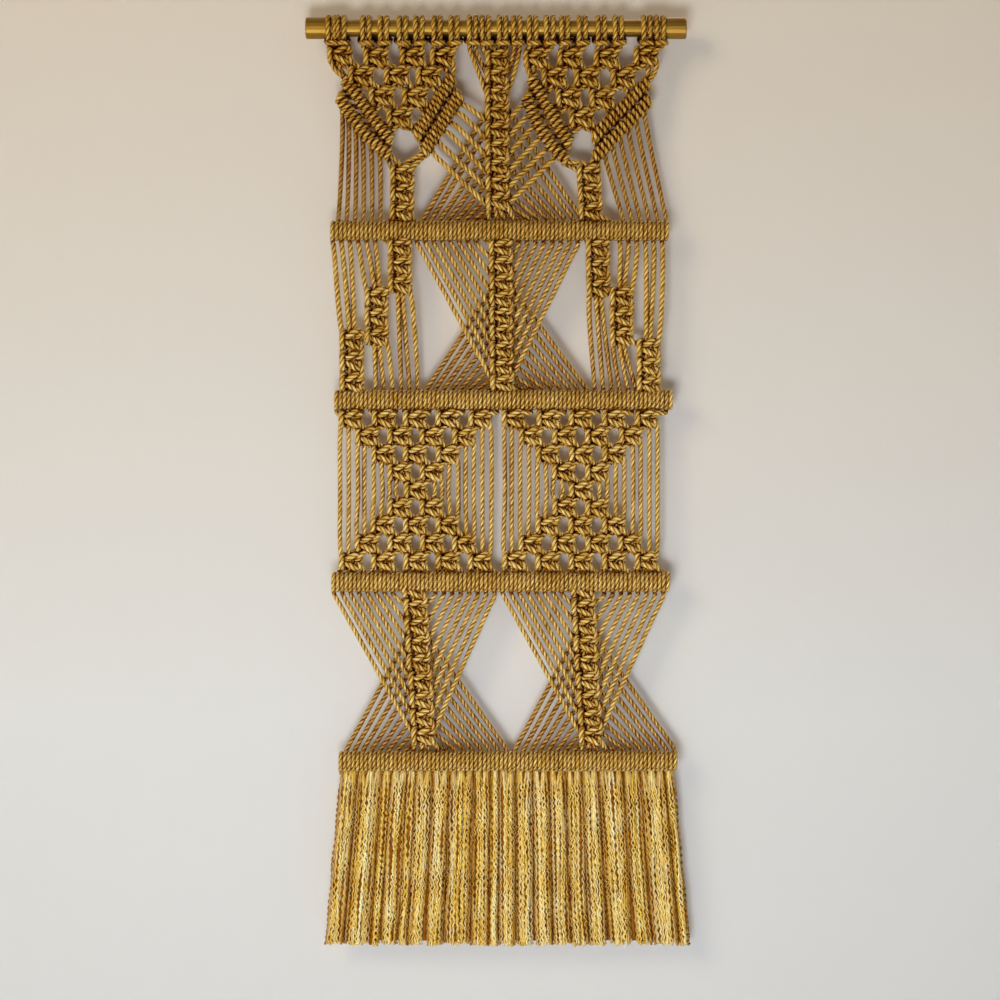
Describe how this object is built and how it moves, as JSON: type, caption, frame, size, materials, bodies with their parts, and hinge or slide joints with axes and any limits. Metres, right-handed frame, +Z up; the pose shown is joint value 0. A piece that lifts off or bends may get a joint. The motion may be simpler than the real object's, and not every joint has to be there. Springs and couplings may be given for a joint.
{
  "type": "macrame wall hanging on a brass rod",
  "caption": "Long macrame wall hanging of mustard cotton cord on a brass rod: knotted nets, sinnets and crossing fans between wrapped bars, ending in a combed fringe.",
  "frame": {"origin": "on the rod's axis at the middle of its length, where the hanging is held up", "axes": "+Z up, +X to the viewer's right along the rod, +Y towards the wall behind"},
  "size_m": [0.3594, 0.0264, 0.8717],
  "materials": {
    "rod": "brushed, satin",
    "cap_left": "brushed, satin",
    "cap_right": "brushed, satin",
    "knotted_panel": "three-ply cotton cord, mustard, slight sheen",
    "fringe": "combed-out cotton yarn, straw gold, crimped"
  },
  "bodies": {
    "root": {"rod": "rod", "cap_left": "cap_left", "cap_right": "cap_right", "knotted_panel": "knotted_panel", "fringe": "fringe"}
  },
  "joints": []
}
